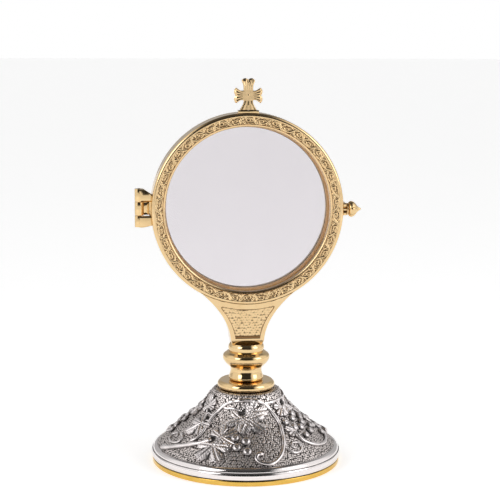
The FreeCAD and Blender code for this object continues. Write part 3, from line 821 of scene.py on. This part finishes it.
def scroll_strokes(period, width):
    """Running leaf scroll over one period: (path, half width) strokes, v from 0 at the lip."""
    strokes = []
    for half in (0, 1):
        start, flip = half * period / 2, 1 if half == 0 else -1
        middle = width * 0.52

        def put(points, thick):
            path = [(start + u * period / 2, middle + flip * (v - 0.5) * width) for u, v in points]
            strokes.append((smooth(path, 6), thick))

        turns = np.linspace(0, 1.25 * 2 * math.pi, 9)
        reach = 0.30 * (1 - 0.10 * turns)
        u, v = 0.50 + reach * np.cos(2.6 - turns), 0.56 + reach * np.sin(2.6 - turns)
        volute = list(zip(u, v))
        put([(-0.08, 0.10), (0.08, 0.42)] + volute, (0.80, 0.42))
        put([(0.10, 0.20), (0.40, 0.06), (0.74, 0.10), (0.98, 0.42)], (0.42, 0.85))
        put([(0.70, 1.00), (0.84, 0.84), (0.92, 0.62)], (0.85, 0.40))
        put([(0.50, 1.06), (0.56, 0.96), (0.64, 0.84)], (0.62, 0.30))
        put([(0.26, 1.04), (0.14, 0.88), (0.06, 0.62)], (0.82, 0.36))
        put([(0.40, -0.06), (0.50, 0.10), (0.60, 0.24)], (0.70, 0.32))
        put([(0.86, -0.02), (0.80, 0.14), (0.76, 0.32)], (0.68, 0.32))
    return strokes


def stroke_field(u, v, strokes, period):
    """Rounded height from 0 to 1, and the distance outside, of strokes repeating every period."""
    best, outside = np.zeros_like(u), np.full_like(u, 9.0)
    for path, (first, last) in strokes:
        count = len(path) - 1
        for k in range(count):
            (ax, ay), (bx, by) = path[k], path[k + 1]
            half = first + (last - first) * (k + 0.5) / count
            for shift in (-period, 0.0, period):
                px, py = u - ax - shift, v - ay
                dx, dy = bx - ax, by - ay
                along = np.clip((px * dx + py * dy) / (dx * dx + dy * dy + 1e-9), 0, 1)
                gap = np.hypot(px - along * dx, py - along * dy)
                best = np.maximum(best, np.sqrt(np.clip(1 - (gap / half) ** 2, 0, 1)))
                outside = np.minimum(outside, gap - half)
    return best, outside


def ring_outline(lip_r, seat_r, side_r, inner_y):
    """Section of a glazed ring as (radius, depth), with a sunk floor under the chased band."""
    face = CASE_HALF_DEPTH
    shoulder_r, shoulder_y = CASE_R - SHOULDER_R, face - SHOULDER_R
    reach = SHOULDER_R * math.sqrt(0.5)
    inset = LIP_ROUND * (1 - math.sqrt(0.5))
    points = line((lip_r, PANE_SEAT_Y), (lip_r, face - LIP_ROUND), 4)
    lip_middle = (lip_r + inset, face - inset)
    points += arc((lip_r, face - LIP_ROUND), lip_middle, (lip_r + LIP_ROUND, face), 12)
    floor = face - BAND_DEPTH - 0.2
    points += [(lip_r + BAND_IN + 0.1, floor)]
    points += line((lip_r + BAND_IN + 0.4, floor), (lip_r + BAND_OUT, floor), 4)
    points += [(CASE_R - 3.6, face - BAND_DEPTH), (CASE_R - 3.35, face - 0.08), (CASE_R - 3.0, face)]
    shoulder_middle = (shoulder_r + reach, shoulder_y + reach)
    points += arc((shoulder_r, face), shoulder_middle, (CASE_R, shoulder_y), 14)
    points += line((CASE_R, shoulder_y - 0.4), (side_r, inner_y + 0.3), 5)
    points += [(side_r, inner_y + 0.3), (side_r - 0.25, inner_y)]
    points += [(seat_r + 0.25, inner_y), (seat_r, inner_y + 0.25), (seat_r, PANE_SEAT_Y)]
    return points


def chased_band():
    """One period of the band as rows of heights above its floor and of relief values, which set its
    painted shade.
    """
    period = 2 * math.pi * BAND_MIDDLE_R / SCROLLS
    width = BAND_OUT - BAND_IN
    u = np.arange(PER_SCROLL) * period / PER_SCROLL
    u, v = np.meshgrid(u, np.linspace(0, width, BAND_ROWS))
    raised, outside = stroke_field(u, v, scroll_strokes(period, width), period)
    gap = to_nearest(u, v, scattered(period, width, DOT_PITCH), period)
    dots = np.clip(1 - (gap / DOT_R) ** 2, 0, 1)
    ground = outside > 0
    groove = np.exp(-((outside - 0.16) / 0.26) ** 2) * ground
    height = np.where(ground, 0.18 * dots - 0.12 * groove, 0.08 + 0.42 * raised)
    # painted shade: darker on the sunk ground and darkest in the groove round each stroke, lighter on
    # the dots and the strokes' crowns
    value = np.where(ground, 0.45 + 0.45 * dots - 0.8 * groove, 0.55 + 0.5 * raised)
    return height, value


def add_ring(shell, facing, lip_r, side_r, inner_y):
    """One glazed ring: round lip, scrolls raised in the sunk band, plain shoulder."""
    put = in_case(facing)
    turned(shell, ring_outline(lip_r, lip_r + PANE_T + 0.1, side_r, inner_y), 360, put)
    height, value = chased_band()
    height, value = np.tile(height, (1, SCROLLS)), np.tile(value, (1, SCROLLS))
    radii = np.linspace(lip_r + BAND_IN, lip_r + BAND_OUT, BAND_ROWS)
    floor = CASE_HALF_DEPTH - BAND_DEPTH
    r, t, h = lathe_points([(radius, floor) for radius in radii], height.shape[1])
    h = h + height
    h[[0, -1]] = floor - 0.3
    shell.add(put(r, t, h), grid_faces(*h.shape, False, True), value)


# ---- case: neck ------------------------------------------------------------------------
NECK_HALF_WIDTH, NECK_FLARE_Z, NECK_FLARE = 14.4, 106.0, 0.0131
PANEL_R, PANEL_Z, PANEL_DEPTH = 86.6, 112.3, 0.75
PANEL_CORNER = 3.0               # radius of the panel's upper corners
BORDER = 4.0                     # plain border beside the panel
LINE_R, LINE_W = 81.3, 0.6
GROOVE_LOW, GROOVE_DEPTH = 110.2, 0.9
BEVEL_TOP_Z = 108.7              # below this the neck is drawn in to sit on the collar
BEVEL_SIDE, BEVEL_FACE = 0.8, 2.9
CRADLE_R = CASE_R + 0.6          # hollow behind the front ring, where the door closes
NECK_FRONT_R = 80.6              # the front face runs in under the ring down to this circle
NECK_FRONT_TOP_Z = 160.0
NECK_REAR_TOP_Z = 146.5
NECK_ROUND = 1.3                 # rounding of the neck's edges
PANEL_WALL = 0.35                # the panel's wall slopes over this width
LINE_DEPTH = 0.5
HAMMER_PITCH, HAMMER_RELIEF = 2.6, 0.2


def neck_half_width(z):
    """Half width of the neck, which flares with the square of its rise."""
    return NECK_HALF_WIDTH + NECK_FLARE * np.maximum(0.0, z - NECK_FLARE_Z) ** 2


def necked(z, inset):
    """How far a side of the neck's foot is drawn in, reaching inset at the bottom."""
    return inset * np.clip((BEVEL_TOP_Z - z) / (BEVEL_TOP_Z - NECK_Z), 0, 1)


def neck_top(across, radius, limit):
    """Height where the line at a share across the neck meets the circle of the case."""
    low, high = np.full_like(across, NECK_FLARE_Z), np.full_like(across, NECK_FRONT_TOP_Z)
    for _ in range(40):
        z = (low + high) / 2
        inside = np.hypot(across * neck_half_width(z), WINDOW_Z - z) < radius
        low, high = np.where(inside, low, z), np.where(inside, z, high)
    return np.minimum(low, limit)


def hammered(x, z, pitch):
    """Hammered bumps: 0 on the middle of each bump, up to 1 in the seams between them."""
    points = scattered(100.0, 60.0, pitch)
    gap = to_nearest(x + 50.0, z - 100.0, points)
    return np.clip(gap / (0.62 * pitch), 0, 1) ** 2


def panel_depth_in(x, z):
    """Distance in from the hammered panel's outline, with its upper corners rounded."""
    beside = neck_half_width(z) - np.abs(x) - BORDER
    above = np.hypot(x, WINDOW_Z - z) - PANEL_R
    short = [np.clip(PANEL_CORNER - inside, 0, None) for inside in (beside, above)]
    return np.minimum(PANEL_CORNER - np.hypot(*short), z - PANEL_Z)


def neck_face(x, z, rim):
    """Depth of the neck's front or back at (x, z): border, sunk hammered panel, groove, line; its
    relief values are painted shade in the hammered seams, the line, the groove and the panel's wall.
    """
    inset = neck_half_width(z) - np.abs(x)
    into = panel_depth_in(x, z)
    sunk = np.clip(into / PANEL_WALL, 0, 1)
    seam = hammered(x, z, HAMMER_PITCH)
    groove = (z > GROOVE_LOW) & (z < PANEL_Z) & (inset > BORDER)
    drop = sunk * (PANEL_DEPTH - HAMMER_RELIEF * (1 - seam)) + GROOVE_DEPTH * groove
    off_line = np.abs(np.hypot(x, WINDOW_Z - z) - LINE_R - LINE_W / 2) / (LINE_W / 2)
    drop += rim * LINE_DEPTH * np.clip(1.35 - off_line, 0, 1)
    edge = np.clip(1 - (inset - necked(z, BEVEL_SIDE)) / NECK_ROUND, 0, 1)
    drop += NECK_ROUND * (1 - np.sqrt(np.clip(1 - edge ** 2, 0, 1)))
    # painted shade: darker in the hammered seams and the engraved line, dark on the panel's wall and
    # in the groove
    value = 1 - 0.55 * sunk * seam - 0.8 * rim * np.clip(1.2 - off_line, 0, 1)
    wall = (into > -0.15) & (into < 0.45) | groove
    return NECK_HALF_DEPTH - necked(z, BEVEL_FACE) - drop, np.where(wall, 0.1, value)


def neck_rows(top, count):
    """Row heights: fine round the foot's bevel and groove, then even up to the top."""
    foot = [NECK_Z, NECK_Z + 0.05, NECK_Z + 1.5, BEVEL_TOP_Z - 0.05, BEVEL_TOP_Z + 0.15]
    foot += [GROOVE_LOW - 0.05, GROOVE_LOW + 0.05, GROOVE_LOW + 0.6, PANEL_Z - 0.6, PANEL_Z - 0.05]
    share = np.linspace(0, 1, count)[:, None]
    rest = PANEL_Z + 0.05 + share * (top - PANEL_Z - 0.05)
    return np.vstack([np.repeat(np.array(foot)[:, None], len(top), axis=1), rest])


def add_neck(shell):
    """Cast neck: front and back faces, flared sides and the cradle under the door."""
    count, cols = 96, 131
    crowding = math.pi / 2 * 0.94       # columns stand closer together at the neck's edges
    across = np.sin(np.linspace(-1, 1, cols) * crowding) / math.sin(crowding)
    edges = {}
    for facing, radius, limit, rim in (
        (-1, NECK_FRONT_R, NECK_FRONT_TOP_Z, 1.0), (1, CRADLE_R, NECK_REAR_TOP_Z, 0.0)
    ):
        z = neck_rows(neck_top(across, radius, limit), count)
        x = across[None, :] * (neck_half_width(z) - necked(z, BEVEL_SIDE))
        depth, value = neck_face(x, z, rim)
        points = np.stack([x, facing * depth, z], -1)
        shell.add(points, grid_faces(*z.shape), value)
        edges[facing] = points
    for side in (0, -1):
        front, back = edges[-1][:, side], edges[1][:, side]
        share = np.linspace(0, 1, 9)[None, :, None]
        sheet = front[:, None] * (1 - share) + back[:, None] * share
        shell.add(sheet, grid_faces(len(front), 9))
    x, y, z = edges[1][-1].T
    y = y * (1 - np.linspace(0, 1, 9)[:, None])
    cradle = np.stack([np.broadcast_to(x, y.shape), y, np.broadcast_to(z, y.shape)], -1)
    shell.add(cradle, grid_faces(9, cols))
    inner = cradle[-1]
    lifted = inner + np.array([0, 0, 2.2])
    shell.add(np.stack([inner, lifted]), grid_faces(2, cols))
    sole = np.stack([edges[-1][0], edges[1][0]])
    shell.add(sole, grid_faces(2, cols))


def make_case():
    """Front ring and neck on the stand, and the ring of the door behind them."""
    frame_shell = Shell()
    add_ring(frame_shell, -1, FRONT_LIP_R, CASE_R, 0.0)
    frame_shell.build("front_ring_look", GOLD_CHASED, "stand", ["front_frame"])
    neck_shell = Shell()
    add_neck(neck_shell)
    neck_shell.build("neck_look", GOLD_CHASED, "stand", ["front_frame"], weld=0.01)
    door_shell = Shell()
    add_ring(door_shell, 1, REAR_LIP_R, CASE_R - 0.4, DOOR_GAP)
    door_shell.build("door_ring_look", GOLD_CHASED, "door", ["door_ring"])


make_case()


# ---- cross -----------------------------------------------------------------------------
CROSS_LOW, CROSS_HIGH = node_box("cross")
CROSS_Y = (CROSS_LOW[1] + CROSS_HIGH[1]) / 2
CROSS_HALF_T = (CROSS_HIGH[1] - CROSS_LOW[1]) / 2
CROSS_Z = 319.5
CROSS_INNER = 4.1                # half width of the arms where they meet
FLUTE_DEPTH, SIDE_BEVEL, END_BEVEL = 0.30, 1.0, 1.4


def add_arm(shell, quarter, sides, end, ribs, end_bevel=0.17):
    """One flared, ribbed arm: sides give its half width, end its length across the width."""
    rows, cols = 34, 57
    share = np.linspace(-1, 1, cols)
    along = np.linspace(0, 1, rows)[:, None]
    reach = np.array([end(abs(w)) for w in share])
    u = CROSS_INNER * np.abs(share) * (1 - along) + reach * along
    half = np.interp(u, [p[0] for p in sides], [p[1] for p in sides])
    w = share * half
    rib = 0.5 + 0.5 * np.cos(share * math.pi * ribs)
    fade = np.clip((u - 4.5) / 3.5, 0, 1)
    rim = np.clip((1 - np.abs(share)) / 0.14, 0, 1) + 0 * along
    bevel = 1 - np.sqrt(np.clip(1 - (1 - rim) ** 2, 0, 1))
    end_cut = np.clip(1 - (1 - along) / end_bevel, 0, 1)
    depth = CROSS_HALF_T - FLUTE_DEPTH * (1 - rib) * fade * rim * (1 - end_cut)
    depth -= np.maximum(SIDE_BEVEL * bevel, END_BEVEL * end_cut) + 0.25 * (1 - fade)
    x, z = ((u, w), (-w, u), (-u, -w), (w, -u))[quarter]
    # painted shade: darker in the flutes between the ribs
    value = 1 - 0.45 * (1 - rib) * fade
    edges = []
    for facing in (-1, 1):
        points = np.stack([x, CROSS_Y + facing * depth, CROSS_Z + z], -1)
        shell.add(points, grid_faces(rows, cols), value)
        edges.append(np.concatenate([points[:, 0], points[-1, 1:-1], points[::-1, -1]]))
    shell.add(np.stack(edges), grid_faces(2, len(edges[0])))


def two_lobed(corner_u, lobe_u, notch_u):
    """End of an arm: a notch in the middle, a round lobe each side, back to the corner."""

    def end(w):
        bump = math.sin(math.pi * min(1.0, w)) ** 0.8
        base = notch_u + (corner_u - notch_u) * w ** 2
        return base + (lobe_u - (notch_u + corner_u) / 2) * bump

    return end


def arm_sides(*points):
    """Side of an arm as (distance from the middle, half width), out from the crossing."""
    return [(0, CROSS_INNER)] + smooth([(CROSS_INNER, CROSS_INNER), *points], 6)


def make_cross():
    """Four fluted arms, three of them ending in two lobes, and a small boss on each face."""
    shell = Shell()
    side_arm = arm_sides((6.4, 4.1), (8.8, 5.5), (10.6, 6.6), (12.4, 6.9))
    upper_arm = arm_sides((8.4, 4.3), (12.2, 5.7), (15.0, 6.1))
    lower_arm = arm_sides((6.5, 4.2), (12.5, 7.3))
    side_end = two_lobed(10.4, 12.0, 10.9)
    add_arm(shell, 0, side_arm, side_end, 5)
    add_arm(shell, 1, upper_arm, two_lobed(12.4, 14.3, 13.2), 5)
    add_arm(shell, 2, side_arm, side_end, 5)
    add_arm(shell, 3, lower_arm, lambda w: CROSS_Z - CROSS_LOW[2], 3, 0.02)
    rise = np.linspace(0, math.pi / 2, 9)[:, None]
    turn = np.linspace(0, 2 * math.pi, 24, endpoint=False)
    for facing in (-1, 1):
        r = 1.5 * np.sin(rise)
        y = CROSS_Y + facing * (CROSS_HALF_T - 1.0 + 0.98 * np.cos(rise)) + 0 * turn
        dome = np.stack([r * np.cos(turn), y, CROSS_Z + r * np.sin(turn)], -1)
        # painted shade: the boss darkens towards its foot
        value = np.repeat(1.0 - 0.6 * (rise / rise[-1]) ** 6, 24, 1)
        shell.add(dome, grid_faces(9, 24, False, True), value)
    shell.build("cross_look", GOLD_CHASED, "stand", ["cross"], sharp=50, weld=0.01)


make_cross()


# ---- closure and hinge -----------------------------------------------------------------
KNOB_LOW, KNOB_HIGH = node_box("closure_knob")
STUD_Y = (KNOB_LOW[1] + KNOB_HIGH[1]) / 2
STUD_Z = (KNOB_LOW[2] + KNOB_HIGH[2]) / 2


def make_knob():
    """Bud of six petals that closes on a point, bored for the stud."""
    shell = Shell()
    petals, around = 6, 120
    bore, bore_end = 2.06, 7.0
    bud = smooth(
        [(4.7, 0.15), (6.2, 0.9), (6.95, 2.9), (5.8, 5.6), (2.9, 8.1), (1.5, 9.8), (0.9, 10.9),
         (0.05, 11.7)],
        10,
    )
    profile = [(bore, bore_end), (bore, 0.25), (2.3, 0.0), (4.5, 0.0)] + bud
    profile += [(0.02, 11.68), (0.02, bore_end)]
    r, t, h = lathe_points(profile, around)
    outer = (r > 2.6) & (h > 0.1) | (h > 7.6)
    bow = 0.35 * np.sin(np.clip(h / 9.0, 0, 1) * math.pi)
    seam = np.abs(((t + bow) * petals / (2 * math.pi)) % 1.0 - 0.5) * 2
    groove = np.clip((seam - 0.72) / 0.28, 0, 1) ** 1.5 * np.clip((11.0 - h) / 3.0, 0, 1) * outer
    midrib = np.clip(1 - seam / 0.16, 0, 1) * outer
    midrib = midrib * np.clip((h - 1.0) / 1.5, 0, 1) * np.clip((8.5 - h) / 3, 0, 1)
    r = r * (1 - 0.13 * groove + 0.02 * midrib)
    points = np.stack([KNOB_LOW[0] + h, STUD_Y + r * np.cos(t), STUD_Z + r * np.sin(t)], -1)
    # painted shade: darker in the grooves between the petals
    shell.add(points, grid_faces(len(profile), around, True, True), 1 - 0.9 * groove)
    shell.build("knob_look", GOLD_POLISHED, "knob", ["closure_knob"], sharp=55)


make_knob()


def soften(name, body, width):
    """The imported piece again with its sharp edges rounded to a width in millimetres."""
    source = NODES[name]
    piece = link_new(name + "_look", source.data.copy())
    piece.matrix_world = source.matrix_world.copy()
    bm = bmesh.new()
    bm.from_mesh(piece.data)
    bmesh.ops.remove_doubles(bm, verts=bm.verts, dist=1e-6)
    bmesh.ops.dissolve_limit(bm, angle_limit=math.radians(1.0), verts=bm.verts, edges=bm.edges)
    bm.to_mesh(piece.data)
    bm.free()
    bevel = piece.modifiers.new("round", "BEVEL")
    bevel.width = width * MM
    bevel.segments = 3
    bevel.limit_method = "ANGLE"
    bevel.angle_limit = math.radians(35)
    bpy.context.view_layer.update()
    rounded = piece.evaluated_get(bpy.context.evaluated_depsgraph_get())
    shape = bpy.data.meshes.new_from_object(rounded)
    piece.modifiers.clear()
    piece.data = shape
    finish_mesh(piece, 40)
    place(piece, GOLD_POLISHED, body, [name])


soften("frame_hinge_leaf", "stand", 0.45)
soften("door_hinge_leaf", "door", 0.4)
soften("cross_pad", "stand", 0.3)
soften("closure_lug", "door", 0.3)
soften("closure_washer", "clamp", 0.3)
soften("hinge_pin", "stand", 0.2)


# ---- camera, floor and light -----------------------------------------------------------
def make_camera():
    """Long lens a little above the case and left of its middle, rolled a trace."""
    distance, height = 1.273, 0.387
    azimuth, aim, pitch, roll = map(math.radians, (-6.73, -0.13, 8.97, 0.31))
    data = bpy.data.cameras.new("camera")
    data.sensor_width = 36.0
    data.lens = 107.35
    data.clip_start, data.clip_end = 0.05, 100.0
    camera = link_new("camera", data)
    camera.location = (math.sin(azimuth) * distance, -math.cos(azimuth) * distance, height)
    look = azimuth + aim
    level = Vector((-math.sin(look), math.cos(look), 0.0))
    forward = level * math.cos(pitch) - Vector((0.0, 0.0, math.sin(pitch)))
    right = Vector((math.cos(look), math.sin(look), 0.0))
    up = right.cross(forward)
    rolled_right = right * math.cos(roll) + up * math.sin(roll)
    rolled_up = up * math.cos(roll) - right * math.sin(roll)
    camera.rotation_mode = "QUATERNION"
    turn = Matrix((rolled_right, rolled_up, -forward)).transposed()
    camera.rotation_quaternion = turn.to_quaternion()
    bpy.context.scene.camera = camera


make_camera()


def make_floor():
    """Pale floor that reaches past the view, lit a little from within to stay white."""
    size = 12.0
    mesh = bpy.data.meshes.new("floor")
    corners = [(-size, -size, 0), (size, -size, 0), (size, size, 0), (-size, size, 0)]
    mesh.from_pydata(corners, [], [(0, 1, 2, 3)])
    floor = link_new("floor", mesh)
    look = new_look("floor")
    look.give("Base Color", (0.93, 0.93, 0.93))
    look.give("Roughness", 0.8)
    look.give("Emission Color", (1.0, 1.0, 1.0))
    look.give("Emission Strength", 0.52)
    mesh.materials.append(look.owner)


make_floor()


def make_world():
    """White studio with soft boxes left and right and a dark gap between and over them."""
    world = bpy.data.worlds.new("studio")
    bpy.context.scene.world = world
    look = Look(world, "Background")
    maths, step = look.maths, look.step
    coords = look.nodes.new("ShaderNodeTexCoord")
    split = look.nodes.new("ShaderNodeSeparateXYZ")
    look.links.new(coords.outputs["Generated"], split.inputs[0])
    x, y, z = split.outputs
    turn = math.radians(6.7)        # the gap is centred on the camera's side
    across = maths(
        "ADD", maths("MULTIPLY", x, math.cos(turn)), maths("MULTIPLY", y, -math.sin(turn))
    )
    height = maths("MAXIMUM", z, 0.0)
    narrowing = maths("MULTIPLY", height, 0.20)
    side = step(maths("ADD", maths("ABSOLUTE", across), narrowing), 0.54, 0.72)
    fading = maths("MULTIPLY", step(y, 0.25, 0.65), 0.4)
    side = maths("MULTIPLY", side, maths("SUBTRACT", 1.0, fading))
    low = maths("SUBTRACT", 1.0, step(z, 0.5, 0.8))
    low_back = maths("MULTIPLY", maths("MULTIPLY", step(y, 0.0, 0.25), 0.45), low)
    below = maths("SUBTRACT", 1.0, step(z, -0.03, 0.03))
    lit = maths("MAXIMUM", side, maths("MAXIMUM", low_back, below))
    dim = maths("MULTIPLY", maths("MULTIPLY", height, height), 0.05)
    glow = look.spread(lit, 0.0, 1.0, maths("ADD", dim, 0.03), 1.0)
    path = look.nodes.new("ShaderNodeLightPath")
    seen = look.nodes.new("ShaderNodeMix")
    seen.data_type = "FLOAT"
    look.links.new(path.outputs["Is Camera Ray"], seen.inputs[0])
    look.links.new(glow, seen.inputs[2])
    seen.inputs[3].default_value = 1.0
    look.give("Strength", seen.outputs[0])
    look.give("Color", (1.0, 1.0, 1.0))


make_world()


def soft_box(name, location, power):
    """Soft lamp of 0.7 by 0.9 m, turned to the middle of the object."""
    data = bpy.data.lights.new(name, "AREA")
    data.shape = "RECTANGLE"
    data.size, data.size_y = 0.7, 0.9
    data.energy = power
    light = link_new(name, data)
    light.location = location
    aim = Vector((0, 0, 0.15)) - Vector(location)
    light.rotation_mode = "QUATERNION"
    light.rotation_quaternion = aim.to_track_quat("-Z", "Y")


soft_box("box_left", (-1.1, -0.9, 0.9), 5)
soft_box("box_right", (1.2, -0.7, 0.8), 4)
bpy.context.scene.view_settings.view_transform = "Standard"


# ---- CAD nodes that stay, with their own materials -------------------------------------
def dress(material, *names):
    """Give CAD nodes that stay as they are a material."""
    for name in names:
        node = NODES[name]
        node.data.materials.clear()
        node.data.materials.append(material)


dress(GLASS, "front_glass", "door_glass")
dress(STEEL, "tie_rod", "rod_washer", "rod_nut", "cross_pin")
dress(GOLD_POLISHED, "closure_stud")
dress(GOLD_MATT, "front_retaining_ring", "door_retaining_ring")
